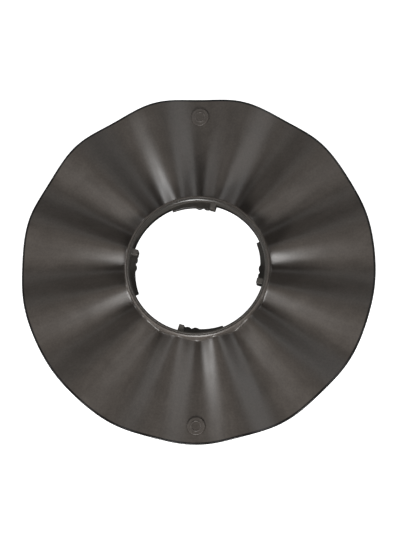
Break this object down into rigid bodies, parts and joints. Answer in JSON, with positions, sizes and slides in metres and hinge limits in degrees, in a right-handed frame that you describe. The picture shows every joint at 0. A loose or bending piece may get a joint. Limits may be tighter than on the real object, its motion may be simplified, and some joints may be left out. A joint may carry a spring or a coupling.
{
  "type": "wavy walking disc with bayonet ring",
  "caption": "Flexible wavy disc for a suction floor cleaner, free to turn on a rigid quick-release ring with bayonet lugs in its bore.",
  "frame": {"origin": "on the bore's axis, at the ring's lower rim, which the part rests on", "axes": "+Z along the bore to the side with the lugs' ramps; a disc trough lies on +Y"},
  "size_m": [0.4, 0.4, 0.024],
  "materials": {
    "ring": "satin moulded",
    "disc": "satin moulded"
  },
  "bodies": {
    "ring": {"bayonet_ring": "ring"},
    "disc": {"wave_disc": "disc"}
  },
  "joints": [
    {"name": "disc_swivel", "type": "hinge", "parent": "ring", "child": "disc", "pos_m": [0, 0, 0.012], "axis": [0, 0, 1], "continuous": true}
  ]
}
